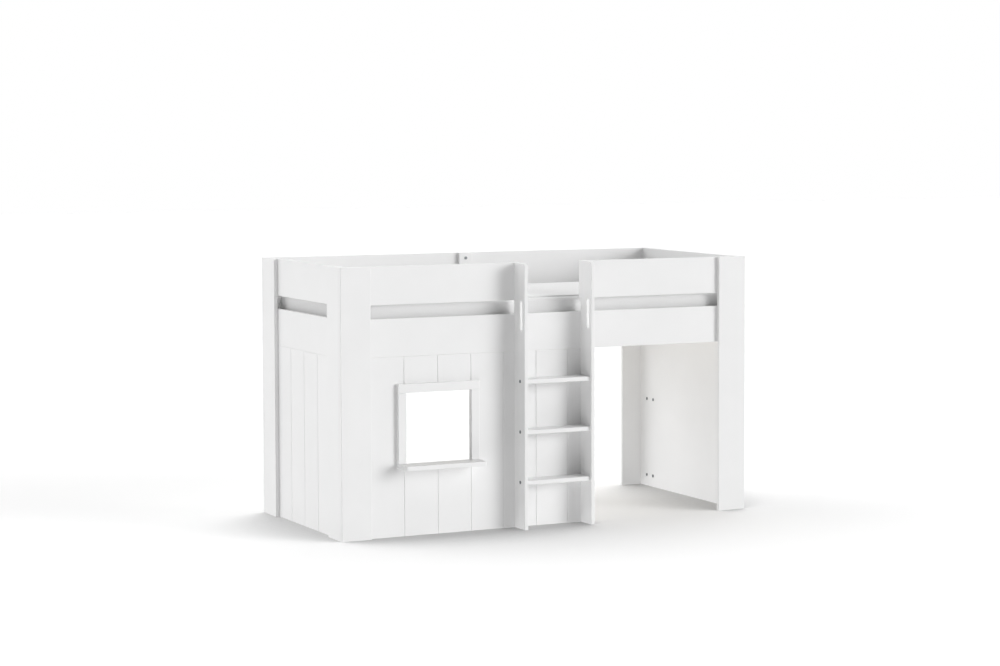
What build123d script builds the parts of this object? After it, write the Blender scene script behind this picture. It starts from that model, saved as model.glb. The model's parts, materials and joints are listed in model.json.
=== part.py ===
from build123d import *

import os
from math import floor, sqrt

# Half-high child's bed: board corner posts, guard rails, a play panel with a window, and a ladder.
# Millimetres, +Z up. The origin is on the floor under the middle of the bed's whole outline,
# +X runs along the mattress towards the open bay, and -Y is the ladder side.

# Outer size of the four posts, and the board that everything is cut from
bed_length = 2080.0
bed_depth = 980.0
bed_height = 1216.0
board = 18.0
edge_ease = 1.5

# Corner posts: a face board and a side board glued into an L
post_face_width = 144.0
post_side_width = 144.0

# Rails, guards and the slot between them
rail_height = 172.0
guard_gap = 62.0

# Grooved panels
groove_pitch = 165.0
groove_depth = 3.0
end_groove_count = 3

# Window in the play panel, centred on a groove counted from the post
window_groove_count = 2
window_width = 320.0
window_height = 320.0
window_bottom = 328.0
window_lip = 5.0
frame_width = 40.0
frame_thickness = 18.0
sill_projection = 103.0
sill_thickness = 20.0
sill_corner = 12.0

# Ladder
ladder_width = 360.0
stringer_depth = 104.0
stringer_corner = 22.0
tread_count = 3
tread_top_first = 224.0
tread_drop = 123.0
tread_thickness = 20.0
tread_setback = 11.0
tread_nose = 4.0
grip_width = 23.0
grip_length = 140.0
grip_inset = 33.0
grip_drop = 239.0

# Slatted base and mattress
bearer_rise = 32.0
bearer_width = 25.0
bearer_height = 40.0
slat_count = 14
slat_width = 70.0
slat_thickness = 20.0
slat_play = 3.0
mattress_thickness = 160.0
mattress_crown = 5.0
mattress_play = 3.0
mattress_corner = 45.0
mattress_edge = 24.0

# Batten that ties the rear guard to the rear rail
batten_width = 70.0
batten_bolt_edge = 26.0
batten_play = 2.0

# Connector bolts with flat heads, set in level pairs
bolt_radius = 3.0
bolt_head_radius = 7.5
bolt_head_height = 2.0
bolt_socket = 4.0
bolt_socket_depth = 1.5
bolt_hold = 13.0
bolt_edge = 14.0
bolt_spacing = 64.0
panel_bolt_low = 56.0
panel_bolt_high = 447.0

# Fasteners of the ladder
screw_radius = 2.5
screw_head_radius = 5.0
screw_head_depth = 4.0
screw_length = 50.0
tread_bolt_inset = 34.0
tread_bolt_hold = 42.0
tread_dowel_inset = 66.0
dowel_radius = 4.0
dowel_length = 30.0
nut_radius = 5.0
nut_length = 14.0
nut_inset = 32.0

# Play round a fastener in its hole, spare depth at the hole's end, and sides of the small rounds
fit_play = 0.2
drill_play = 1.0
round_sides = 8
head_sides = 12


def spread(first, last, count):
    """Evenly spaced places from first to last."""
    return [first + step * (last - first) / (count - 1) for step in range(count)]


# Planes across the bed, from the ladder to the rear
front_y = (stringer_depth - board - bed_depth) / 2
rail_front_y = front_y + board
rail_inner_y = rail_front_y + board
rear_y = front_y + bed_depth
rear_rail_y = rear_y - board
rear_inner_y = rear_rail_y - board
batten_front_y = rear_inner_y - board
stringer_front_y = rail_front_y - stringer_depth
tread_front_y = stringer_front_y + tread_setback
front_side_edge_y = rail_front_y + post_side_width
rear_side_edge_y = rear_rail_y - post_side_width
middle_y = (front_y + rear_y) / 2

# Planes along the bed, counted out from its middle
half_length = bed_length / 2
end_outer_x = half_length - board
end_inner_x = end_outer_x - board
post_edge_x = half_length - post_face_width
ladder_half = ladder_width / 2
stringer_inner_x = ladder_half - board
stringer_middle_x = ladder_half - board / 2
window_x = window_groove_count * groove_pitch - post_edge_x

# Levels
guard_bottom = bed_height - rail_height
guard_middle = guard_bottom + rail_height / 2
rail_top = guard_bottom - guard_gap
rail_bottom = rail_top - rail_height
rail_middle = rail_bottom + rail_height / 2
window_top = window_bottom + window_height
window_middle = window_bottom + window_height / 2
grip_middle = bed_height - grip_drop
tread_tops = spread(tread_top_first, rail_bottom - tread_drop, tread_count)
tread_middles = [top - tread_thickness / 2 for top in tread_tops]
bearer_bottom = rail_bottom + bearer_rise
bearer_top = bearer_bottom + bearer_height
slat_top = bearer_top + slat_thickness
batten_bottom = slat_top + batten_play

# Bolt places
panel_levels = [panel_bolt_low, panel_bolt_high]
end_levels = [guard_middle, rail_middle] + panel_levels
guard_tie_levels = [bed_height - batten_bolt_edge, guard_bottom + batten_bolt_edge]
rail_tie_levels = [(rail_top + batten_bottom) / 2]
batten_levels = guard_tie_levels + rail_tie_levels
screw_levels = [tread_tops[0] / 2, (tread_tops[-1] + rail_bottom) / 2, rail_middle, guard_middle]
panel_screws, rail_screws, guard_screws = screw_levels[:2], screw_levels[2:3], screw_levels[3:]
tread_bolt_y = tread_front_y + tread_bolt_inset
tread_dowel_y = tread_front_y + tread_dowel_inset
nut_x = stringer_inner_x - nut_inset
hands = (("left", -1), ("right", 1))


def save(piece, name):
    """Label a finished piece and write it under its own name."""
    piece.part.label = name
    export_step(piece.part, f"parts/{name}.step")


def pair_from(edge, towards):
    """Two bolt places in a row, the first one a set distance in from a board's free edge."""
    first = edge + towards * bolt_edge
    return [first, first + towards * bolt_spacing]


def facing_x(place, direction):
    """Upright plane across the bed that faces along X, with local x level."""
    return Plane(origin=(place, 0, 0), x_dir=(0, 1, 0), z_dir=(direction, 0, 0))


def facing_y(place, direction):
    """Upright plane along the bed that faces along Y, with local x level."""
    return Plane(origin=(0, place, 0), x_dir=(1, 0, 0), z_dir=(0, direction, 0))


def grid(across, levels):
    """Every pairing of a place across a board with a level."""
    return [(place, level) for place in across for level in levels]


def drill(plane, places, radius, depth):
    """Drill the piece in hand from an upright plane that faces out of the wood.

    The many small rounds are drawn with few sides, with play round the shank that goes in.
    """
    with BuildSketch(plane) as mouths:
        with Locations(*[(across, plane.y_dir.Z * level) for across, level in places]):
            RegularPolygon(radius + fit_play, round_sides)
    extrude(mouths.sketch, amount=-depth, mode=Mode.SUBTRACT)


def long_board(left, right, bottom, top, inner_y, inwards):
    """Plain board along the bed, from its inner face outwards, eased on its long edges."""
    with BuildPart() as blank:
        with BuildSketch(facing_y(inner_y, -inwards)) as outline:
            rise = outline.workplanes[0].y_dir.Z
            with Locations(((left + right) / 2, rise * (bottom + top) / 2)):
                Rectangle(right - left, top - bottom)
        extrude(amount=board)
        chamfer(blank.edges().filter_by(Axis.X), length=edge_ease)
    return blank.part


def end_board(outwards, bottom, top, levels):
    """Board across one end of the bed, with bolt pairs through it behind both side boards."""
    bolt_y = pair_from(front_side_edge_y, -1) + pair_from(rear_side_edge_y, 1)
    with BuildPart() as blank:
        with BuildSketch(Plane.YZ.offset(outwards * end_inner_x)):
            with Locations((middle_y, (bottom + top) / 2)):
                Rectangle(rear_rail_y - rail_front_y, top - bottom)
        extrude(amount=outwards * board)
        chamfer(blank.edges().filter_by(Axis.Y), length=edge_ease)
        drill(facing_x(outwards * end_inner_x, -outwards), grid(bolt_y, levels), bolt_radius, board)
    return blank.part


def groove_plan(places):
    """Plan of upright V grooves: a square stood on its corner at each place on a panel's face."""
    side = groove_depth * sqrt(2)
    with BuildSketch(Plane.XY) as plan:
        with Locations(*places):
            Rectangle(side, side, rotation=45)
    return plan.sketch


def shanks(seats, radius, length):
    """Round shanks that run down into the wood from each seat."""
    with BuildSketch(*seats) as plan:
        RegularPolygon(radius, round_sides)
    extrude(plan.sketch, amount=-length)


def bolts(seats, hold):
    """Connector bolts with a flat round head and a hexagon socket, one on each seat."""
    with BuildPart() as group:
        with BuildSketch(*seats):
            RegularPolygon(bolt_head_radius, head_sides)
        extrude(amount=bolt_head_height)
        shanks(seats, bolt_radius, board + hold)
        with BuildSketch(*[seat.offset(bolt_head_height) for seat in seats]):
            RegularPolygon(bolt_socket / 2, 6, major_radius=False)
        extrude(amount=-bolt_socket_depth, mode=Mode.SUBTRACT)
    return group


os.makedirs("parts", exist_ok=True)

# Corner posts, with blind holes in their inner faces for the bolts
face_seats = []
for row, outer_y, inner_y, side_edge_y, outwards_y in (
    ("front", front_y, rail_front_y, front_side_edge_y, -1),
    ("rear", rear_y, rear_rail_y, rear_side_edge_y, 1),
):
    for hand, outwards in hands:
        levels = [guard_middle, rail_middle]
        if (row, hand) == ("front", "left"):
            levels = levels + panel_levels
        bolt_x = pair_from(outwards * post_edge_x, outwards)
        head_y = inner_y - outwards_y * board
        for x, z in grid(bolt_x, levels):
            face_seats.append(Plane(origin=(x, head_y, z), z_dir=(0, -outwards_y, 0)))

        with BuildPart() as face_board:
            with BuildSketch(Plane.XY):
                with Locations((outwards * (half_length + post_edge_x) / 2, (outer_y + inner_y) / 2)):
                    Rectangle(post_face_width, board)
            extrude(amount=bed_height)
            chamfer(face_board.edges().filter_by(Axis.Z), length=edge_ease)
            inner_face = facing_y(inner_y, -outwards_y)
            drill(inner_face, grid(bolt_x, levels), bolt_radius, bolt_hold + drill_play)
        save(face_board, f"post_{row}_{hand}_face")

        with BuildPart() as side_board:
            with BuildSketch(Plane.XY):
                with Locations((outwards * (half_length - board / 2), (inner_y + side_edge_y) / 2)):
                    Rectangle(board, post_side_width)
            extrude(amount=bed_height)
            chamfer(side_board.edges().filter_by(Axis.Z), length=edge_ease)
            inner_face = facing_x(outwards * end_outer_x, -outwards)
            bolt_y = pair_from(side_edge_y, outwards_y)
            drill(inner_face, grid(bolt_y, end_levels), bolt_radius, bolt_hold + drill_play)
        save(side_board, f"post_{row}_{hand}_side")

# Rails and guards along the bed, drilled from the inside
rail_bolt_x = pair_from(-post_edge_x, -1) + pair_from(post_edge_x, 1)
front_inner_face = facing_y(rail_inner_y, 1)
rear_inner_face = facing_y(rear_inner_y, -1)

rail_blank = long_board(-end_inner_x, end_inner_x, rail_bottom, rail_top, rail_inner_y, 1)
with BuildPart() as front_lower_rail:
    add(rail_blank)
    drill(front_inner_face, grid(rail_bolt_x, [rail_middle]), bolt_radius, board)
    screw_places = grid((-stringer_middle_x, stringer_middle_x), rail_screws)
    drill(front_inner_face, screw_places, screw_radius, board)
    drill(front_inner_face, screw_places, screw_head_radius, screw_head_depth)
save(front_lower_rail, "front_lower_rail")

for hand, outwards in hands:
    left, right = sorted((outwards * stringer_inner_x, outwards * end_inner_x))
    guard_blank = long_board(left, right, guard_bottom, bed_height, rail_inner_y, 1)
    with BuildPart() as front_guard:
        add(guard_blank)
        bolt_x = pair_from(outwards * post_edge_x, outwards)
        drill(front_inner_face, grid(bolt_x, [guard_middle]), bolt_radius, board)
        screw_places = grid([outwards * stringer_middle_x], guard_screws)
        drill(front_inner_face, screw_places, screw_radius, board)
        drill(front_inner_face, screw_places, screw_head_radius, screw_head_depth)
    save(front_guard, f"front_guard_{hand}")

for name, bottom, top, tie_levels in (
    ("rear_lower_rail", rail_bottom, rail_top, rail_tie_levels),
    ("rear_guard", guard_bottom, bed_height, guard_tie_levels),
):
    rail_blank = long_board(-end_inner_x, end_inner_x, bottom, top, rear_inner_y, -1)
    with BuildPart() as rear_rail:
        add(rail_blank)
        drill(rear_inner_face, grid(rail_bolt_x, [(bottom + top) / 2]), bolt_radius, board)
        drill(rear_inner_face, grid([0], tie_levels), bolt_radius, bolt_hold + drill_play)
    save(rear_rail, name)

with BuildPart() as batten:
    with BuildSketch(Plane.XY.offset(batten_bottom)):
        with Locations((0, (batten_front_y + rear_inner_y) / 2)):
            Rectangle(batten_width, board)
    extrude(amount=bed_height - batten_bottom)
    chamfer(batten.edges().filter_by(Axis.Z).group_by(Axis.Y)[0], length=edge_ease)
    drill(facing_y(batten_front_y, -1), grid([0], batten_levels), bolt_radius, board)
save(batten, "rear_centre_batten")

# Ends of the bed: guard, slot, rail and a grooved panel down to the floor
half_run = groove_pitch * (end_groove_count - 1) / 2
groove_y = spread(middle_y - half_run, middle_y + half_run, end_groove_count)
for hand, outwards in hands:
    guard_blank = end_board(outwards, guard_bottom, bed_height, [guard_middle])
    with BuildPart() as end_guard:
        add(guard_blank)
    save(end_guard, f"{hand}_end_guard")

    rail_blank = end_board(outwards, rail_bottom, rail_top, [rail_middle])
    with BuildPart() as end_rail:
        add(rail_blank)
    save(end_rail, f"{hand}_end_rail")

    panel_blank = end_board(outwards, 0, rail_bottom, panel_levels)
    with BuildPart() as end_panel:
        add(panel_blank)
        grooves = groove_plan([(outwards * end_outer_x, y) for y in groove_y])
        extrude(grooves, amount=rail_bottom, mode=Mode.SUBTRACT)
    save(end_panel, f"{hand}_end_panel")

# Play panel with its window, from the left end to the far side of the ladder
groove_count = floor((ladder_half + post_edge_x) / groove_pitch)
groove_x = [step * groove_pitch - post_edge_x for step in range(1, groove_count + 1)]
panel_blank = long_board(-end_inner_x, ladder_half, 0, rail_bottom, rail_inner_y, 1)
with BuildPart() as play_panel:
    add(panel_blank)
    with BuildSketch(Plane.XZ.offset(-rail_front_y)):
        with Locations((window_x, window_middle)):
            Rectangle(window_width + 2 * window_lip, window_height + 2 * window_lip)
    extrude(amount=-board, mode=Mode.SUBTRACT)
    grooves = groove_plan([(x, rail_front_y) for x in groove_x])
    extrude(grooves, amount=rail_bottom, mode=Mode.SUBTRACT)
    bolt_x = pair_from(-post_edge_x, -1)
    drill(front_inner_face, grid(bolt_x, panel_levels), bolt_radius, board)
    screw_places = grid((-stringer_middle_x, stringer_middle_x), panel_screws)
    drill(front_inner_face, screw_places, screw_radius, board)
    drill(front_inner_face, screw_places, screw_head_radius, screw_head_depth)
save(play_panel, "play_panel")

# Window frame: a head over two jambs that stand on the sill
frame_span = window_width + 2 * frame_width
for name, x, z, width, height in (
    ("window_head", window_x, window_top + frame_width / 2, frame_span, frame_width),
    ("window_jamb_left", window_x - (frame_span - frame_width) / 2, window_middle, frame_width, window_height),
    ("window_jamb_right", window_x + (frame_span - frame_width) / 2, window_middle, frame_width, window_height),
):
    with BuildPart() as trim:
        with BuildSketch(Plane.XZ.offset(-rail_front_y)):
            with Locations((x, z)):
                Rectangle(width, height)
        extrude(amount=frame_thickness)
        chamfer(trim.faces().sort_by(Axis.Y)[0].edges(), length=edge_ease)
    save(trim, name)

with BuildPart() as sill:
    with BuildSketch(Plane.XY.offset(window_bottom - sill_thickness)) as sill_plan:
        with Locations((window_x, rail_front_y - sill_projection / 2)):
            Rectangle(frame_span, sill_projection)
        fillet(sill_plan.vertices().group_by(Axis.Y)[0], radius=sill_corner)
    extrude(amount=sill_thickness)
    rims = sill.edges().filter_by(Axis.Z, reverse=True)
    chamfer(rims.sort_by(Axis.Y)[:-2], length=edge_ease)
save(sill, "window_sill")

# Ladder: two stringers with hand grips, and treads between them
for hand, outwards in hands:
    with BuildPart() as stringer:
        with BuildSketch(Plane.YZ.offset(outwards * stringer_inner_x)) as outline:
            with Locations((rail_front_y - stringer_depth / 2, bed_height / 2)):
                Rectangle(stringer_depth, bed_height)
            top_front = outline.vertices().group_by(Axis.Y)[-1].sort_by(Axis.X)[0]
            fillet(top_front, radius=stringer_corner)
            with Locations((stringer_front_y + grip_inset, grip_middle)):
                SlotOverall(grip_length, grip_width, rotation=90, mode=Mode.SUBTRACT)
        extrude(amount=outwards * board)
        flanks = stringer.faces().sort_by(Axis.X)
        rims = flanks[0].outer_wire().edges() + flanks[-1].outer_wire().edges()
        shown = rims.filter_by(lambda rim: rim.center().Y < rail_front_y - edge_ease)
        chamfer(shown.filter_by(lambda rim: rim.center().Z > edge_ease), length=edge_ease)
        inner_face = facing_x(outwards * stringer_inner_x, -outwards)
        drill(inner_face, grid([tread_bolt_y], tread_middles), bolt_radius, board)
        drill(inner_face, grid([tread_dowel_y], tread_middles), dowel_radius, board / 2 + drill_play)
        screw_places = grid([outwards * stringer_middle_x], screw_levels)
        drill(facing_y(rail_front_y, 1), screw_places, screw_radius, screw_length - board + drill_play)
    save(stringer, f"ladder_stringer_{hand}")

for number, (top, middle) in enumerate(zip(tread_tops, tread_middles), start=1):
    with BuildPart() as tread:
        with BuildSketch(Plane.XY.offset(top - tread_thickness)):
            with Locations((0, (tread_front_y + rail_front_y) / 2)):
                Rectangle(2 * stringer_inner_x, rail_front_y - tread_front_y)
        extrude(amount=tread_thickness)
        fillet(tread.edges().filter_by(Axis.X).group_by(Axis.Y)[0], radius=tread_nose)
        for outwards in (-1, 1):
            end_face = facing_x(outwards * stringer_inner_x, outwards)
            drill(end_face, [(tread_bolt_y, middle)], bolt_radius, tread_bolt_hold + drill_play)
            dowel_hold = dowel_length - board / 2 + drill_play
            drill(end_face, [(tread_dowel_y, middle)], dowel_radius, dowel_hold)
        with BuildSketch(Plane.XY.offset(top - tread_thickness)):
            with Locations((-nut_x, tread_bolt_y), (nut_x, tread_bolt_y)):
                RegularPolygon(nut_radius + fit_play, head_sides)
        extrude(amount=(tread_thickness + nut_length) / 2, mode=Mode.SUBTRACT)
    save(tread, f"ladder_tread_{number}")

# Slatted base on two bearers
for row, wall_y, inwards in (("front", rail_inner_y, 1), ("rear", rear_inner_y, -1)):
    with BuildPart() as bearer:
        with BuildSketch(Plane.XY.offset(bearer_bottom)):
            with Locations((0, wall_y + inwards * bearer_width / 2)):
                Rectangle(2 * (end_inner_x - slat_play), bearer_width)
        extrude(amount=bearer_height)
        chamfer(bearer.edges().filter_by(Axis.X).group_by(Axis.Z)[0], length=edge_ease)
    save(bearer, f"base_bearer_{row}")

last_slat_x = end_inner_x - slat_play - slat_width / 2
for number, slat_x in enumerate(spread(-last_slat_x, last_slat_x, slat_count), start=1):
    with BuildPart() as slat:
        with BuildSketch(Plane.XZ.offset(-(rail_inner_y + slat_play))):
            with Locations((slat_x, bearer_top + slat_thickness / 2)):
                Rectangle(slat_width, slat_thickness)
        extrude(amount=-(rear_inner_y - rail_inner_y - 2 * slat_play))
        chamfer(slat.edges().filter_by(Axis.Y), length=edge_ease)
    save(slat, f"slat_{number:02d}")

# Mattress: crowned across its width, with soft corners and edges
mattress_front_y = rail_inner_y + mattress_play
mattress_rear_y = batten_front_y - bolt_head_height - mattress_play
mattress_middle_y = (mattress_front_y + mattress_rear_y) / 2
mattress_top = slat_top + mattress_thickness
mattress_half = end_inner_x - mattress_play
with BuildPart() as mattress:
    with BuildSketch(Plane.YZ.offset(-mattress_half)):
        with BuildLine():
            Polyline(
                (mattress_front_y, mattress_top - mattress_crown),
                (mattress_front_y, slat_top),
                (mattress_rear_y, slat_top),
                (mattress_rear_y, mattress_top - mattress_crown),
            )
            ThreePointArc(
                (mattress_rear_y, mattress_top - mattress_crown),
                (mattress_middle_y, mattress_top),
                (mattress_front_y, mattress_top - mattress_crown),
            )
        make_face()
    extrude(amount=2 * mattress_half)
    fillet(mattress.edges().filter_by(Axis.Z), radius=mattress_corner)
    fillet(mattress.faces().sort_by(Axis.Z)[-1].edges(), radius=mattress_edge)
    fillet(mattress.faces().sort_by(Axis.Z)[0].edges(), radius=mattress_edge)
save(mattress, "mattress")

# Bolts, each kind a group of separate pieces
save(bolts(face_seats, bolt_hold), "rail_bolts")

end_seats = []
for hand, outwards in hands:
    bolt_y = pair_from(front_side_edge_y, -1) + pair_from(rear_side_edge_y, 1)
    for y, z in grid(bolt_y, end_levels):
        end_seats.append(Plane(origin=(outwards * end_inner_x, y, z), z_dir=(-outwards, 0, 0)))
save(bolts(end_seats, bolt_hold), "end_bolts")

batten_seats = [Plane(origin=(0, batten_front_y, z), z_dir=(0, -1, 0)) for z in batten_levels]
save(bolts(batten_seats, bolt_hold), "batten_bolts")

tread_seats = []
for hand, outwards in hands:
    for z in tread_middles:
        tread_seats.append(Plane(origin=(outwards * ladder_half, tread_bolt_y, z), z_dir=(outwards, 0, 0)))
save(bolts(tread_seats, tread_bolt_hold), "ladder_bolts")

# Barrel nuts under the treads, dowels beside the bolts, and screws from inside the bed
with BuildPart() as barrel_nuts:
    nut_seats = [Plane.XY.offset(z + nut_length / 2) for z in tread_middles]
    with BuildSketch(*nut_seats):
        with Locations((-nut_x, tread_bolt_y), (nut_x, tread_bolt_y)):
            RegularPolygon(nut_radius, head_sides)
    extrude(amount=-nut_length)
    drill(facing_x(ladder_half, 1), grid([tread_bolt_y], tread_middles), bolt_radius, ladder_width)
save(barrel_nuts, "ladder_barrel_nuts")

with BuildPart() as tread_dowels:
    dowel_end_x = stringer_inner_x + board / 2
    dowel_seats = []
    for hand, outwards in hands:
        for z in tread_middles:
            seat = (outwards * dowel_end_x, tread_dowel_y, z)
            dowel_seats.append(Plane(origin=seat, z_dir=(outwards, 0, 0)))
    shanks(dowel_seats, dowel_radius, dowel_length)
save(tread_dowels, "tread_dowels")

with BuildPart() as ladder_screws:
    screw_seats = []
    for x, z in grid((-stringer_middle_x, stringer_middle_x), screw_levels):
        screw_seats.append(Plane(origin=(x, rail_inner_y, z), z_dir=(0, 1, 0)))
    shanks(screw_seats, screw_head_radius, screw_head_depth)
    shanks(screw_seats, screw_radius, screw_length)
save(ladder_screws, "ladder_screws")
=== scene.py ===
"""Looks of a white half-high bed: lacquered boards, pine base, steel bolts, soft mattress and studio."""

import json
import math

import bmesh
import bpy
from bpy.props import FloatProperty, FloatVectorProperty, IntProperty, PointerProperty
from mathutils import Euler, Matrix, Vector, noise
from mathutils.bvhtree import BVHTree


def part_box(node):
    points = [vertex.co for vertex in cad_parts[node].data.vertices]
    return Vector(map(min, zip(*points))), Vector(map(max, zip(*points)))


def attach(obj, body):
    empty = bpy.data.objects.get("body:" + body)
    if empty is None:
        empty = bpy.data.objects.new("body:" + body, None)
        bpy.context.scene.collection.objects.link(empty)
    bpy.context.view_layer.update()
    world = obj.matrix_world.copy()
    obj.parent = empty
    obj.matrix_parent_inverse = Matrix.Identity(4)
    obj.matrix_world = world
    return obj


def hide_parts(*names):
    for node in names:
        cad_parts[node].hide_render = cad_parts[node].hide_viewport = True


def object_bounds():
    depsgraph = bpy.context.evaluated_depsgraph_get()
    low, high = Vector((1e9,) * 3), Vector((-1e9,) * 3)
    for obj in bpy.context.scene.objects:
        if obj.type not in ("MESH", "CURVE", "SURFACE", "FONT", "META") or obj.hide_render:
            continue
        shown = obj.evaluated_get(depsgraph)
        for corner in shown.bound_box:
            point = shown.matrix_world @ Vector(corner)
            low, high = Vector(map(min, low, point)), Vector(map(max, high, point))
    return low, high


bl_info = {
    "name": "Half-high bed looks",
    "version": (1, 0, 0),
    "blender": (4, 5, 0),
    "location": "View3D > Sidebar > Bed",
    "description": "Finishes, mattress and studio for a half-high bed",
    "category": "Object",
}

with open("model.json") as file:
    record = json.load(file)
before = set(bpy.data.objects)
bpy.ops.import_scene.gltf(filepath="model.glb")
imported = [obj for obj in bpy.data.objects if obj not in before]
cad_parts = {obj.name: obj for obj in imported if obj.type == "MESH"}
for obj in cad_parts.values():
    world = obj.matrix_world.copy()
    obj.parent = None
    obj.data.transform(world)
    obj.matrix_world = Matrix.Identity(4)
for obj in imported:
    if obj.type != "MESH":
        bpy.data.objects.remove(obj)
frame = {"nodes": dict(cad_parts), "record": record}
CAD_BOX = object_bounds()
MM = 0.001

# Rows of edges cut along a mattress seam, from just outside its line into the side.
SEAM_ROWS_MM = (-3, 0, 3, 7, 12)
# Reach of a seam's pull, in radii of its piping, and a distance at which no seam pulls.
SEAM_REACH = 2.2
NO_SEAM = 1.0
# Size and strength of the gathers along a seam, and size of the uneven patches on the faces.
GATHER_WIDTH = 45 * MM
GATHER_SHARE = 0.25
SAG_WIDTH = 280 * MM

# Spacing of the points along the piping, fewest points round a corner, and sides of the cord.
CORD_STEP = 12 * MM
CORNER_POINTS = 6
CORD_SIDES = 10
# The cord is laid on from outside the mattress, stands out of the seam by a share of its radius,
# and is then smoothed a few times.
CORD_CLEARANCE = 5 * MM
CORD_SEAT = 0.55
CORD_SMOOTHING = 4

# Name, turn from +X, height above level and tightness of each softbox, with angles in degrees.
SOFTBOXES = (
    ("key", 315, 12, 25),
    ("top", 0, 90, 4),
    ("rear_right", 45, 35, 6),
    ("rear_left", 135, 35, 6),
    ("low_rear", 135, -35, 6),
    ("low_front", 225, -35, 6),
    ("table", 0, -90, 4),
)
WHITE = (1.0, 1.0, 1.0, 1.0)
# The floor lies just under the feet, so that it shares no face with them.
FLOOR_GAP = 0.2 * MM
SENSOR_WIDTH_MM = 36.0
FARTHEST_SEEN = 200.0


def linear(hex_colour):
    """An sRGB hex colour as linear RGBA."""
    levels = [int(hex_colour[place : place + 2], 16) / 255 for place in (1, 3, 5)]
    bent = [level / 12.92 if level <= 0.04045 else ((level + 0.055) / 1.055) ** 2.4 for level in levels]
    return (*bent, 1.0)


def repeats(size):
    """Texture scale, in repeats per metre, for a feature of that size."""
    return 1.0 / size


def add_node(tree, kind, inputs=None, **settings):
    """Add a node, set its properties, then set or link its inputs."""
    made = tree.nodes.new(kind)
    for name, value in settings.items():
        setattr(made, name, value)
    for name, value in (inputs or {}).items():
        if isinstance(value, bpy.types.NodeSocket):
            tree.links.new(value, made.inputs[name])
        else:
            made.inputs[name].default_value = value
    return made


def new_material(name):
    """An empty node material, with its tree and its output."""
    material = bpy.data.materials.new(name)
    material.use_nodes = True
    tree = material.node_tree
    tree.nodes.clear()
    return material, tree, add_node(tree, "ShaderNodeOutputMaterial")


def satin_lacquered_fibreboard(look):
    """Sprayed white lacquer on fibreboard.

    To the eye it is an even, neutral white with a soft broad sheen. The spray leaves a slight
    orange peel, and the film's thickness shifts the white a little from place to place.
    """
    material, tree, output = new_material("satin_lacquered_fibreboard")
    place = add_node(tree, "ShaderNodeTexCoord").outputs["Object"]
    film = add_node(
        tree,
        "ShaderNodeTexNoise",
        {"Vector": place, "Scale": repeats(look.film_patch), "Detail": 3.0},
    ).outputs["Fac"]
    white = add_node(tree, "ShaderNodeValToRGB", {"Fac": film})
    white.color_ramp.elements[0].position = 0.3
    white.color_ramp.elements[0].color = (*look.thin_film, 1.0)
    white.color_ramp.elements[1].position = 0.7
    white.color_ramp.elements[1].color = (*look.full_film, 1.0)
    # Real orange peel is about 1 mm across; it is drawn coarser so that it shows.
    peel = add_node(
        tree,
        "ShaderNodeTexNoise",
        {"Vector": place, "Scale": repeats(look.orange_peel), "Detail": 2.0},
    ).outputs["Fac"]
    gloss = add_node(
        tree,
        "ShaderNodeMapRange",
        {
            "Value": film,
            "From Min": 0.3,
            "From Max": 0.7,
            "To Min": look.roughness - 0.03,
            "To Max": look.roughness + 0.04,
        },
    ).outputs["Result"]
    bump = add_node(tree, "ShaderNodeBump", {"Height": peel, "Strength": 0.12, "Distance": 0.1 * MM})
    shader = add_node(
        tree,
        "ShaderNodeBsdfPrincipled",
        {
            "Base Color": white.outputs["Color"],
            "Roughness": gloss,
            "IOR": 1.48,
            "Normal": bump.outputs["Normal"],
        },
    )
    tree.links.new(shader.outputs["BSDF"], output.inputs["Surface"])
    return material


def planed_pine(look, along):
    """Planed, unfinished pine, with its grain along one axis.

    To the eye it is a very pale straw wood, with slightly darker late-wood lines a few millimetres
    apart that run along the length, and a dry, matt face.
    """
    material, tree, output = new_material(f"planed_pine_along_{'xyz'[along]}")
    place = add_node(tree, "ShaderNodeTexCoord").outputs["Object"]
    # The lines are drawn out 25 times along the board, and wander by up to 30 mm across it.
    stretch = [1.0, 1.0, 1.0]
    stretch[along] = 0.04
    drawn = add_node(tree, "ShaderNodeMapping", {"Vector": place, "Scale": stretch}).outputs["Vector"]
    sway = add_node(
        tree,
        "ShaderNodeTexNoise",
        {"Vector": drawn, "Scale": repeats(60 * MM), "Detail": 2.0},
    ).outputs["Color"]
    bent = add_node(
        tree,
        "ShaderNodeVectorMath",
        {0: sway, 1: (30 * MM, 30 * MM, 30 * MM)},
        operation="MULTIPLY",
    ).outputs["Vector"]
    swayed = add_node(tree, "ShaderNodeVectorMath", {0: drawn, 1: bent}, operation="ADD").outputs["Vector"]
    rings = add_node(
        tree,
        "ShaderNodeTexNoise",
        {"Vector": swayed, "Scale": repeats(look.ring_width), "Detail": 4.0},
    ).outputs["Fac"]
    wood = add_node(tree, "ShaderNodeValToRGB", {"Fac": rings})
    wood.color_ramp.elements[0].position = 0.36
    wood.color_ramp.elements[0].color = (*look.late_wood, 1.0)
    wood.color_ramp.elements[1].position = 0.6
    wood.color_ramp.elements[1].color = (*look.early_wood, 1.0)
    bump = add_node(tree, "ShaderNodeBump", {"Height": rings, "Strength": 0.25, "Distance": 0.2 * MM})
    shader = add_node(
        tree,
        "ShaderNodeBsdfPrincipled",
        {
            "Base Color": wood.outputs["Color"],
            "Roughness": 0.62,
            "IOR": 1.5,
            "Normal": bump.outputs["Normal"],
        },
    )
    tree.links.new(shader.outputs["BSDF"], output.inputs["Surface"])
    return material


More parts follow.
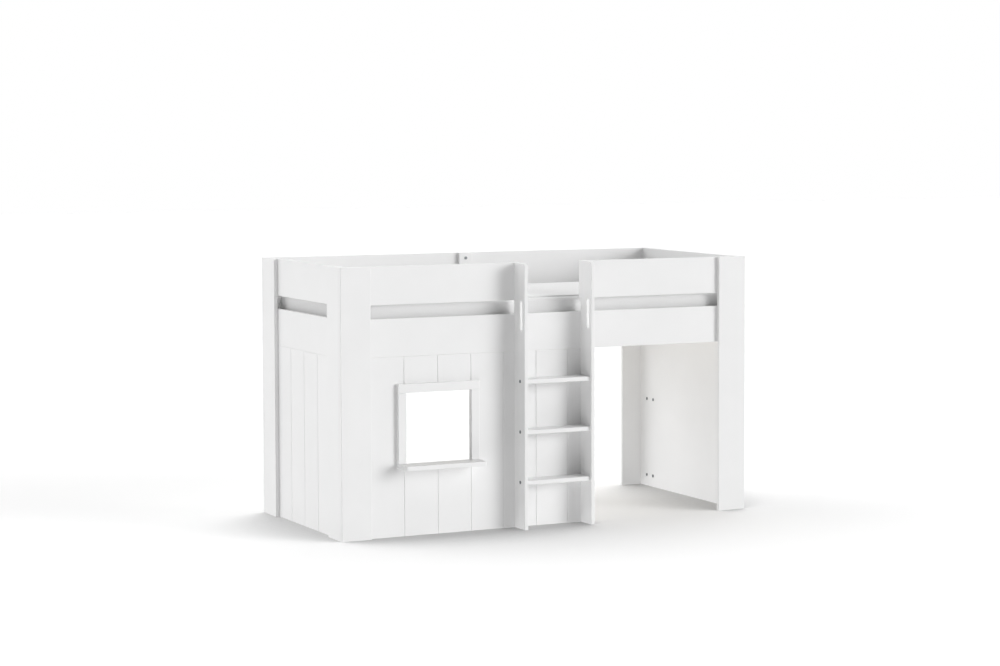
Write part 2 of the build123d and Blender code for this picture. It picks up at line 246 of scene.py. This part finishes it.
def zinc_plated_steel():
    """Turned steel with a dull zinc plating.

    To the eye it is a cool mid-grey metal with a slightly clouded gloss.
    """
    material, tree, output = new_material("zinc_plated_steel")
    place = add_node(tree, "ShaderNodeTexCoord").outputs["Object"]
    cloud = add_node(
        tree,
        "ShaderNodeTexNoise",
        {"Vector": place, "Scale": repeats(6 * MM), "Detail": 3.0},
    ).outputs["Fac"]
    tint = add_node(tree, "ShaderNodeValToRGB", {"Fac": cloud})
    tint.color_ramp.elements[0].color = linear("#7C8084")
    tint.color_ramp.elements[1].color = linear("#9DA0A2")
    gloss = add_node(
        tree,
        "ShaderNodeMapRange",
        {"Value": cloud, "To Min": 0.24, "To Max": 0.38},
    ).outputs["Result"]
    shader = add_node(
        tree,
        "ShaderNodeBsdfPrincipled",
        {"Base Color": tint.outputs["Color"], "Metallic": 1.0, "Roughness": gloss},
    )
    tree.links.new(shader.outputs["BSDF"], output.inputs["Surface"])
    return material


def turned_beech():
    """Turned beech dowel rod.

    To the eye it is an even pinkish tan with short dark flecks.
    """
    material, tree, output = new_material("turned_beech")
    place = add_node(tree, "ShaderNodeTexCoord").outputs["Object"]
    # The flecks are five times as long as they are wide, along the rod.
    along_rod = (0.2, 1.0, 1.0)
    drawn = add_node(tree, "ShaderNodeMapping", {"Vector": place, "Scale": along_rod}).outputs["Vector"]
    fleck = add_node(
        tree,
        "ShaderNodeTexNoise",
        {"Vector": drawn, "Scale": repeats(1.5 * MM), "Detail": 2.0},
    ).outputs["Fac"]
    wood = add_node(tree, "ShaderNodeValToRGB", {"Fac": fleck})
    wood.color_ramp.elements[0].position = 0.35
    wood.color_ramp.elements[0].color = linear("#B58358")
    wood.color_ramp.elements[1].position = 0.5
    wood.color_ramp.elements[1].color = linear("#D2A679")
    shader = add_node(
        tree,
        "ShaderNodeBsdfPrincipled",
        {"Base Color": wood.outputs["Color"], "Roughness": 0.55, "IOR": 1.5},
    )
    tree.links.new(shader.outputs["BSDF"], output.inputs["Surface"])
    return material


def knitted_ticking(look):
    """White double-knit mattress ticking.

    To the eye it is a soft matt white with fine crossed ribs, and a little sheen at a glancing angle.
    """
    material, tree, output = new_material("knitted_ticking")
    place = add_node(tree, "ShaderNodeTexCoord").outputs["Object"]
    # The ribs lie at a slant to every face. Real ones are under 1 mm apart; they are drawn wider
    # so that they show. One band of the wave node is pi / 10 wide at a scale of 1.
    slant = (math.radians(35), math.radians(35), math.radians(45))
    turned = add_node(tree, "ShaderNodeMapping", {"Vector": place, "Rotation": slant}).outputs["Vector"]
    rib_scale = repeats(look.knit_pitch) * math.pi / 10
    ribs = []
    for side in ("X", "Y"):
        wave = add_node(
            tree,
            "ShaderNodeTexWave",
            {"Vector": turned, "Scale": rib_scale, "Distortion": 0.6, "Detail": 1.0},
            bands_direction=side,
        )
        ribs.append(wave.outputs["Fac"])
    knit = add_node(tree, "ShaderNodeMath", {0: ribs[0], 1: ribs[1]}, operation="MULTIPLY").outputs["Value"]
    yarn = add_node(tree, "ShaderNodeValToRGB", {"Fac": knit})
    yarn.color_ramp.elements[0].color = (*look.ticking_valley, 1.0)
    yarn.color_ramp.elements[1].color = (*look.ticking_crown, 1.0)
    bump = add_node(tree, "ShaderNodeBump", {"Height": knit, "Strength": 0.3, "Distance": 0.4 * MM})
    shader = add_node(
        tree,
        "ShaderNodeBsdfPrincipled",
        {
            "Base Color": yarn.outputs["Color"],
            "Roughness": 0.9,
            "IOR": 1.45,
            "Sheen Weight": 0.15,
            "Sheen Roughness": 0.5,
            "Normal": bump.outputs["Normal"],
        },
    )
    tree.links.new(shader.outputs["BSDF"], output.inputs["Surface"])
    return material


def dress(names, material):
    """Give CAD nodes a material, and leave their shape alone."""
    for name in names:
        mesh = frame["nodes"][name].data
        mesh.materials.clear()
        mesh.materials.append(material)


def nodes_in_slot(slot):
    """Names of the CAD nodes that share one slot of the record."""
    return [entry["node"] for entry in frame["record"]["subparts"] if entry["material_slot"] == slot]


def piece_from_mesh(name, mesh, material):
    """Link a finished mesh as a piece that rides on the bed."""
    piece = bpy.data.objects.new(name, mesh)
    bpy.context.scene.collection.objects.link(piece)
    mesh.materials.clear()
    mesh.materials.append(material)
    mesh.polygons.foreach_set("use_smooth", [True] * len(mesh.polygons))
    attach(piece, "root")
    return piece


class BedLookSettings(bpy.types.PropertyGroup):
    """Finish of the boards and of the pine base."""

    full_film: FloatVectorProperty(
        name="Full film", description="White where the lacquer is thickest", subtype="COLOR",
        size=3, min=0.0, max=1.0, default=linear("#ECECEC")[:3],
    )
    thin_film: FloatVectorProperty(
        name="Thin film", description="White where the lacquer is thinnest", subtype="COLOR",
        size=3, min=0.0, max=1.0, default=linear("#E9E9E9")[:3],
    )
    roughness: FloatProperty(
        name="Roughness", description="Mean roughness of the satin lacquer", subtype="FACTOR",
        min=0.0, max=1.0, default=0.42,
    )
    film_patch: FloatProperty(
        name="Film patch", description="Width of a patch of even film", subtype="DISTANCE",
        unit="LENGTH", default=220 * MM, min=1 * MM,
    )
    orange_peel: FloatProperty(
        name="Orange peel", description="Width of the spray's ripples", subtype="DISTANCE",
        unit="LENGTH", default=3 * MM, min=0.1 * MM,
    )
    early_wood: FloatVectorProperty(
        name="Early wood", description="Pale wood between the ring lines", subtype="COLOR",
        size=3, min=0.0, max=1.0, default=linear("#F0EBE1")[:3],
    )
    late_wood: FloatVectorProperty(
        name="Late wood", description="Darker wood of the ring lines", subtype="COLOR",
        size=3, min=0.0, max=1.0, default=linear("#E4DAC8")[:3],
    )
    ring_width: FloatProperty(
        name="Ring width", description="Spacing of the growth rings", subtype="DISTANCE",
        unit="LENGTH", default=5 * MM, min=0.5 * MM,
    )


class MattressSettings(bpy.types.PropertyGroup):
    """Form and cover of the mattress."""

    inset: FloatProperty(
        name="Inset", description="How much smaller the cover starts before it is filled",
        subtype="DISTANCE", unit="LENGTH", default=5 * MM, min=0.0,
    )
    rise: FloatProperty(
        name="Rise", description="How far the plump top stands above a flat one",
        subtype="DISTANCE", unit="LENGTH", default=8 * MM, min=0.0,
    )
    swell: FloatProperty(
        name="Swell", description="Most that a point of the cover may move as it fills",
        subtype="DISTANCE", unit="LENGTH", default=4.5 * MM, min=0.0,
    )
    voxel: FloatProperty(
        name="Voxel", description="Mesh size of the cover while it fills",
        subtype="DISTANCE", unit="LENGTH", default=28 * MM, min=1 * MM,
    )
    pressure: FloatProperty(
        name="Pressure", description="Pressure of the foam in the cover", default=4.0,
    )
    frames: IntProperty(
        name="Frames", description="Steps of the filling", default=12, min=1,
    )
    corner: FloatProperty(
        name="Corner", description="Radius of the corners in plan",
        subtype="DISTANCE", unit="LENGTH", default=45 * MM,
    )
    seam_drop: FloatProperty(
        name="Seam drop", description="How far the piped seams lie from the top and bottom faces",
        subtype="DISTANCE", unit="LENGTH", default=17 * MM,
    )
    seam_depth: FloatProperty(
        name="Seam depth", description="How deep the seams pull the cover in",
        subtype="DISTANCE", unit="LENGTH", default=4 * MM,
    )
    sag: FloatProperty(
        name="Sag", description="How unevenly the faces settle",
        subtype="DISTANCE", unit="LENGTH", default=2.5 * MM,
    )
    piping: FloatProperty(
        name="Piping", description="Radius of the piping cord",
        subtype="DISTANCE", unit="LENGTH", default=3.5 * MM,
    )
    knit_pitch: FloatProperty(
        name="Knit pitch", description="Spacing of the drawn ribs",
        subtype="DISTANCE", unit="LENGTH", default=3 * MM, min=0.2 * MM,
    )
    ticking_crown: FloatVectorProperty(
        name="Ticking crown", description="Top of the knitted ribs", subtype="COLOR",
        size=3, min=0.0, max=1.0, default=linear("#EAEAEA")[:3],
    )
    ticking_valley: FloatVectorProperty(
        name="Ticking valley", description="Valleys between the ribs", subtype="COLOR",
        size=3, min=0.0, max=1.0, default=linear("#DEDEDE")[:3],
    )


class StudioSettings(bpy.types.PropertyGroup):
    """Camera, floor and soft light of the studio."""

    camera_place: FloatVectorProperty(
        name="Camera place", description="Where the camera stands",
        subtype="TRANSLATION", unit="LENGTH", size=3, default=(-5.203, -10.676, 1.847),
    )
    camera_yaw: FloatProperty(
        name="Yaw", description="Turn of the view from +Y towards +X",
        subtype="ANGLE", unit="ROTATION", default=math.radians(28.1),
    )
    camera_pitch: FloatProperty(
        name="Pitch", description="Downward tilt of the view",
        subtype="ANGLE", unit="ROTATION", default=math.radians(3.8),
    )
    lens: FloatProperty(
        name="Lens", description="Focal length on a 36 mm sensor",
        subtype="DISTANCE_CAMERA", unit="CAMERA", default=90.18, min=1.0,
    )
    shift_x: FloatProperty(
        name="Shift X", description="Sideways lens shift", default=-0.101,
    )
    shift_y: FloatProperty(
        name="Shift Y", description="Upright lens shift", default=-0.0427,
    )
    key: FloatProperty(
        name="Key", description="Softbox a little above level, front right", default=11.4, min=0.0,
    )
    top: FloatProperty(
        name="Top", description="Softbox straight above", default=0.85, min=0.0,
    )
    rear_right: FloatProperty(
        name="Rear right", description="Softbox high at the rear right", default=1.8, min=0.0,
    )
    rear_left: FloatProperty(
        name="Rear left", description="Softbox high at the rear left", default=2.4, min=0.0,
    )
    low_rear: FloatProperty(
        name="Low rear", description="Softbox low at the rear left", default=1.7, min=0.0,
    )
    low_front: FloatProperty(
        name="Low front", description="Softbox low at the front left", default=1.75, min=0.0,
    )
    table: FloatProperty(
        name="Table", description="Light straight up through the floor", default=1.2, min=0.0,
    )
    # Painted shade: how dark the floor's colour is drawn right beside the bed.
    painted_contact_shade: FloatProperty(
        name="Contact tone", description="Tone of the floor right beside the bed", subtype="FACTOR",
        min=0.0, max=1.0, default=0.6,
    )
    # How far that painted shade on the floor reaches from the boards.
    painted_shade_reach: FloatProperty(
        name="Contact reach", description="How far that darker tone reaches",
        subtype="DISTANCE", unit="LENGTH", default=0.85, min=0.0,
    )
    floor_width: FloatProperty(
        name="Floor width", description="Side of the floor",
        subtype="DISTANCE", unit="LENGTH", default=80.0,
    )


class BED_OT_boards(bpy.types.Operator):
    """Lacquer every board of the bed"""

    bl_idname = "bed.boards"
    bl_label = "Lacquer the boards"

    def execute(self, context):
        dress(nodes_in_slot("white_lacquer"), satin_lacquered_fibreboard(context.scene.bed_look))
        return {"FINISHED"}


class BED_OT_base(bpy.types.Operator):
    """Give the slats and bearers their pine"""

    bl_idname = "bed.base"
    bl_label = "Finish the slatted base"

    def execute(self, context):
        names = nodes_in_slot("pine")
        look = context.scene.bed_look
        dress([name for name in names if name.startswith("slat")], planed_pine(look, along=1))
        dress([name for name in names if name.startswith("base")], planed_pine(look, along=0))
        return {"FINISHED"}


class BED_OT_hardware(bpy.types.Operator):
    """Plate the bolts, nuts and screws, and finish the dowels"""

    bl_idname = "bed.hardware"
    bl_label = "Finish the hardware"

    def execute(self, context):
        dress(nodes_in_slot("zinc_steel"), zinc_plated_steel())
        dress(nodes_in_slot("beech"), turned_beech())
        return {"FINISHED"}


def blank_cover(low, high, settings):
    """The mattress's CAD mesh as a new object, a little smaller and with a fuller top half."""
    middle = (low + high) / 2
    half = (high - low) / 2
    mesh = frame["nodes"]["mattress"].data.copy()
    for vertex in mesh.vertices:
        offset = vertex.co - middle
        for axis in range(3):
            offset[axis] *= (half[axis] - settings.inset) / half[axis]
        if offset.z > 0:
            offset.z *= 1 + settings.rise / half.z
        vertex.co = middle + offset
    cover = bpy.data.objects.new("mattress_cover", mesh)
    bpy.context.scene.collection.objects.link(cover)
    return cover


def shaped_mesh(cover, modifier):
    """The cover's mesh as a modifier shapes it; the modifier is then taken off."""
    bpy.context.view_layer.update()
    shaped = cover.evaluated_get(bpy.context.evaluated_depsgraph_get())
    mesh = bpy.data.meshes.new_from_object(shaped)
    cover.modifiers.remove(modifier)
    return mesh


def fill_cover(cover, settings):
    """Inflate a closed cover with a short cloth run, and cap how far its points move."""
    start = [vertex.co.copy() for vertex in cover.data.vertices]
    cloth = cover.modifiers.new("fill", "CLOTH")
    cloth.settings.quality = 3
    cloth.settings.mass = 0.3
    cloth.settings.tension_stiffness = 20.0
    cloth.settings.compression_stiffness = 20.0
    cloth.settings.bending_stiffness = 4.0
    cloth.settings.use_pressure = True
    cloth.settings.uniform_pressure_force = settings.pressure
    cloth.settings.effector_weights.gravity = 0.0
    cloth.point_cache.frame_start = 1
    cloth.point_cache.frame_end = settings.frames
    scene = bpy.context.scene
    for number in range(1, settings.frames + 1):
        scene.frame_set(number)
    filled = cover.evaluated_get(bpy.context.evaluated_depsgraph_get())
    moved = [vertex.co.copy() for vertex in filled.data.vertices]
    cover.modifiers.remove(cloth)
    scene.frame_set(1)
    for vertex, before, after in zip(cover.data.vertices, start, moved):
        step = after - before
        if step.length > settings.swell:
            step = step.normalized() * settings.swell
        vertex.co = before + step


def seam_loop(low, high, outside, corner, level):
    """Points round a rounded rectangle at one level, that far outside the mattress's box."""
    half_x = (high.x - low.x) / 2 + outside
    half_y = (high.y - low.y) / 2 + outside
    middle = (low + high) / 2
    bend = corner + outside
    points = []
    for turn, (sign_x, sign_y) in enumerate(((1, 1), (-1, 1), (-1, -1), (1, -1))):
        centre_x = middle.x + sign_x * (half_x - bend)
        centre_y = middle.y + sign_y * (half_y - bend)
        centre = Vector((centre_x, centre_y, level))
        arc_steps = max(CORNER_POINTS, int(bend * math.pi / 2 / CORD_STEP))
        for place in range(arc_steps + 1):
            angle = math.pi / 2 * (turn + place / arc_steps)
            points.append(centre + Vector((math.cos(angle), math.sin(angle), 0.0)) * bend)
    whole = []
    for here, there in zip(points, points[1:] + points[:1]):
        gap = (there - here).length
        parts = max(1, round(gap / CORD_STEP))
        whole += [here.lerp(there, part / parts) for part in range(parts)]
    return whole


def cord_mesh(name, line, outwards, radius):
    """A closed round cord along a level loop of points."""
    upward = Vector((0, 0, 1))
    form = bmesh.new()
    rings = []
    for point, outward in zip(line, outwards):
        ring = []
        for side in range(CORD_SIDES):
            angle = 2 * math.pi * side / CORD_SIDES
            across = outward * math.cos(angle) + upward * math.sin(angle)
            ring.append(form.verts.new(point + across * radius))
        rings.append(ring)
    for here, there in zip(rings, rings[1:] + rings[:1]):
        for side in range(CORD_SIDES):
            after = (side + 1) % CORD_SIDES
            form.faces.new((here[side], there[side], there[after], here[after]))
    bmesh.ops.recalc_face_normals(form, faces=form.faces)
    mesh = bpy.data.meshes.new(name)
    form.to_mesh(mesh)
    form.free()
    return mesh


class BED_OT_mattress(bpy.types.Operator):
    """Make the mattress: a filled, knitted cover with two piped seams"""

    bl_idname = "bed.mattress"
    bl_label = "Make the mattress"

    def execute(self, context):
        settings = context.scene.bed_mattress
        low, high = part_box("mattress")
        ticking = knitted_ticking(settings)
        final = self.cover_mesh(low, high, settings)
        levels = (low.z + settings.seam_drop, high.z + settings.rise - settings.seam_drop)
        self.sew(final, low, high, levels, settings)
        cover = piece_from_mesh("mattress_cover", final, ticking)
        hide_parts("mattress")
        for name, level in zip(("mattress_piping_bottom", "mattress_piping_top"), levels):
            self.pipe(name, final, low, high, level, settings, ticking)
        return {"FINISHED"}

    def cover_mesh(self, low, high, settings):
        """The smooth, filled cover, still without its seams."""
        cover = blank_cover(low, high, settings)
        remesh = cover.modifiers.new("voxels", "REMESH")
        remesh.mode = "VOXEL"
        remesh.voxel_size = settings.voxel
        cover.data = shaped_mesh(cover, remesh)
        fill_cover(cover, settings)
        subdivision = cover.modifiers.new("smooth", "SUBSURF")
        subdivision.levels = 1
        final = shaped_mesh(cover, subdivision)
        bpy.data.objects.remove(cover)
        final.name = "mattress_cover"
        return final

    def sew(self, mesh, low, high, levels, settings):
        """Pull the cover in along the two seams, with small gathers, and let the faces sag a little."""
        form = bmesh.new()
        form.from_mesh(mesh)
        for level, into_side in zip(levels, (1, -1)):
            for row in SEAM_ROWS_MM:
                height = level + into_side * row * MM
                every = form.verts[:] + form.edges[:] + form.faces[:]
                bmesh.ops.bisect_plane(form, geom=every, plane_co=(0, 0, height), plane_no=(0, 0, 1))
        form.normal_update()
        middle = (low + high) / 2
        half_x = (high.x - low.x) / 2
        half_y = (high.y - low.y) / 2
        reach = settings.piping * SEAM_REACH
        for vertex in form.verts:
            out_x = abs(vertex.co.x - middle.x) - half_x
            out_y = abs(vertex.co.y - middle.y) - half_y
            # The seams pull on the sides and the rims, not on the middle of the top and bottom.
            across = NO_SEAM
            if max(out_x, out_y) > -2 * settings.corner:
                across = min(abs(vertex.co.z - level) for level in levels)
            gather = 1.0 + GATHER_SHARE * noise.noise(vertex.co * repeats(GATHER_WIDTH))
            pull = settings.seam_depth * gather * math.exp(-((across / reach) ** 2))
            sag = settings.sag * (0.5 + 0.5 * noise.noise(vertex.co * repeats(SAG_WIDTH)))
            vertex.co -= vertex.normal * (pull + sag * min(1.0, across / (4 * reach)))
        form.normal_update()
        form.to_mesh(mesh)
        form.free()

    def pipe(self, name, cover, low, high, level, settings, material):
        """Lay a piping cord in one seam of the cover."""
        surface = BVHTree.FromPolygons(
            [vertex.co for vertex in cover.vertices], [face.vertices for face in cover.polygons]
        )
        outline = seam_loop(low, high, CORD_CLEARANCE, settings.corner, level)
        count = len(outline)
        upward = Vector((0, 0, 1))
        outwards = []
        for place in range(count):
            ahead = outline[(place + 1) % count] - outline[place - 1]
            outwards.append(ahead.cross(upward).normalized())
        line = []
        for point, outward in zip(outline, outwards):
            hit = surface.ray_cast(point, -outward)[0]
            if hit is None:
                raise RuntimeError(f"{name} finds no cover to lie on")
            line.append(hit + outward * settings.piping * CORD_SEAT)
        # The cord is stiffer than the cover, so it follows the seam more smoothly.
        for _ in range(CORD_SMOOTHING):
            line = [
                (line[place - 1] + line[place] + line[(place + 1) % count]) / 3 for place in range(count)
            ]
        mesh = cord_mesh(name, line, outwards, settings.piping)
        piece_from_mesh(name, mesh, material)


def softbox(tree, towards, turn, height, tightness, strength):
    """Light that is strongest from one direction and fades smoothly away from it."""
    turn = math.radians(turn)
    height = math.radians(height)
    flat = math.cos(height)
    direction = (flat * math.cos(turn), flat * math.sin(turn), math.sin(height))
    facing = add_node(
        tree,
        "ShaderNodeVectorMath",
        {0: towards, 1: direction},
        operation="DOT_PRODUCT",
    ).outputs["Value"]
    shown = add_node(tree, "ShaderNodeMath", {0: facing, 1: 0.0}, operation="MAXIMUM").outputs["Value"]
    soft = add_node(tree, "ShaderNodeMath", {0: shown, 1: tightness}, operation="POWER").outputs["Value"]
    return add_node(tree, "ShaderNodeMath", {0: soft, 1: strength}, operation="MULTIPLY").outputs["Value"]


def seen_directly(tree):
    """One for rays from the camera, in a mirror or through glass, and zero for lighting rays."""
    path = add_node(tree, "ShaderNodeLightPath")
    first = add_node(
        tree,
        "ShaderNodeMath",
        {0: path.outputs["Is Camera Ray"], 1: path.outputs["Is Glossy Ray"]},
        operation="MAXIMUM",
    ).outputs["Value"]
    return add_node(
        tree,
        "ShaderNodeMath",
        {0: first, 1: path.outputs["Is Transmission Ray"]},
        operation="MAXIMUM",
    ).outputs["Value"]


class BED_OT_studio(bpy.types.Operator):
    """Set the pale floor, the soft light and the camera"""

    bl_idname = "bed.studio"
    bl_label = "Set the studio"

    def execute(self, context):
        scene = context.scene
        studio = scene.bed_studio
        self.light(scene, studio)
        self.floor(scene, studio)
        self.camera(scene, studio)
        scene.view_settings.view_transform = "Standard"
        return {"FINISHED"}

    def light(self, scene, studio):
        """Light from softboxes all round and a light table below; the background itself is white."""
        world = bpy.data.worlds.new("studio")
        scene.world = world
        world.use_nodes = True
        tree = world.node_tree
        tree.nodes.clear()
        towards = add_node(tree, "ShaderNodeTexCoord").outputs["Generated"]
        level = 0.0
        for name, turn, height, tightness in SOFTBOXES:
            lamp = softbox(tree, towards, turn, height, tightness, getattr(studio, name))
            level = add_node(tree, "ShaderNodeMath", {0: level, 1: lamp}, operation="ADD").outputs["Value"]
        lit = add_node(tree, "ShaderNodeBackground", {"Color": WHITE, "Strength": level})
        blank = add_node(tree, "ShaderNodeBackground", {"Color": WHITE, "Strength": 1.0})
        mixed = add_node(
            tree,
            "ShaderNodeMixShader",
            {0: seen_directly(tree), 1: lit.outputs["Background"], 2: blank.outputs["Background"]},
        )
        add_node(tree, "ShaderNodeOutputWorld", {"Surface": mixed.outputs["Shader"]})

    def floor(self, scene, studio):
        """A plain floor that the camera sees as white, with the bed's shadow on it and painted shade close
        to the boards.
        """
        form = bmesh.new()
        bmesh.ops.create_grid(form, x_segments=1, y_segments=1, size=studio.floor_width / 2)
        mesh = bpy.data.meshes.new("studio_floor")
        form.to_mesh(mesh)
        form.free()
        floor = bpy.data.objects.new("studio_floor", mesh)
        floor.location.z = CAD_BOX[0][2] - FLOOR_GAP
        scene.collection.objects.link(floor)
        # The lamps shine through the floor, as on a light table, so that undersides stay bright.
        floor.visible_diffuse = False
        floor.visible_shadow = False
        material, tree, output = new_material("matt_studio_floor")
        # Light from all sides washes out the shade close to the boards, so shade is painted into the
        # floor's colour:
        # it is darkened where the boards hide more than about a fifth of the view from it, and fully at a
        # half.
        painted_shade_mask = add_node(tree, "ShaderNodeAmbientOcclusion", {"Distance": studio.painted_shade_reach}, samples=16)
        tone = add_node(
            tree,
            "ShaderNodeMapRange",
            {
                "Value": painted_shade_mask.outputs["AO"],
                "From Min": 0.48,
                "From Max": 0.78,
                "To Min": studio.painted_contact_shade,
                "To Max": 1.0,
            },
        ).outputs["Result"]
        matt = add_node(tree, "ShaderNodeBsdfDiffuse", {"Color": tone})
        tree.links.new(matt.outputs["BSDF"], output.inputs["Surface"])
        mesh.materials.append(material)

    def camera(self, scene, studio):
        """A camera at the picture's own angle."""
        optics = bpy.data.cameras.new("studio_camera")
        optics.sensor_fit = "HORIZONTAL"
        optics.sensor_width = SENSOR_WIDTH_MM
        optics.lens = studio.lens
        optics.shift_x = studio.shift_x
        optics.shift_y = studio.shift_y
        optics.clip_end = FARTHEST_SEEN
        camera = bpy.data.objects.new("studio_camera", optics)
        camera.location = studio.camera_place
        camera.rotation_euler = Euler((math.pi / 2 - studio.camera_pitch, 0.0, -studio.camera_yaw))
        scene.collection.objects.link(camera)
        scene.camera = camera


class BED_PT_looks(bpy.types.Panel):
    """Steps and settings of the bed's looks"""

    bl_label = "Bed looks"
    bl_idname = "BED_PT_looks"
    bl_space_type = "VIEW_3D"
    bl_region_type = "UI"
    bl_category = "Bed"

    def draw(self, context):
        layout = self.layout
        for step in STEPS:
            layout.operator(step.bl_idname)
        for name, _ in SETTINGS:
            group = getattr(context.scene, name)
            box = layout.box()
            for prop in group.__annotations__:
                box.prop(group, prop)


SETTINGS = (
    ("bed_look", BedLookSettings),
    ("bed_mattress", MattressSettings),
    ("bed_studio", StudioSettings),
)
STEPS = (BED_OT_boards, BED_OT_base, BED_OT_hardware, BED_OT_mattress, BED_OT_studio)


def register():
    for name, group in SETTINGS:
        bpy.utils.register_class(group)
        setattr(bpy.types.Scene, name, PointerProperty(type=group))
    for step in STEPS:
        bpy.utils.register_class(step)
    bpy.utils.register_class(BED_PT_looks)


def unregister():
    bpy.utils.unregister_class(BED_PT_looks)
    for step in reversed(STEPS):
        bpy.utils.unregister_class(step)
    for name, group in reversed(SETTINGS):
        delattr(bpy.types.Scene, name)
        bpy.utils.unregister_class(group)


def main():
    """Run every step in order."""
    register()
    bpy.ops.bed.boards()
    bpy.ops.bed.base()
    bpy.ops.bed.hardware()
    bpy.ops.bed.mattress()
    bpy.ops.bed.studio()


if __name__ == "__main__":
    main()
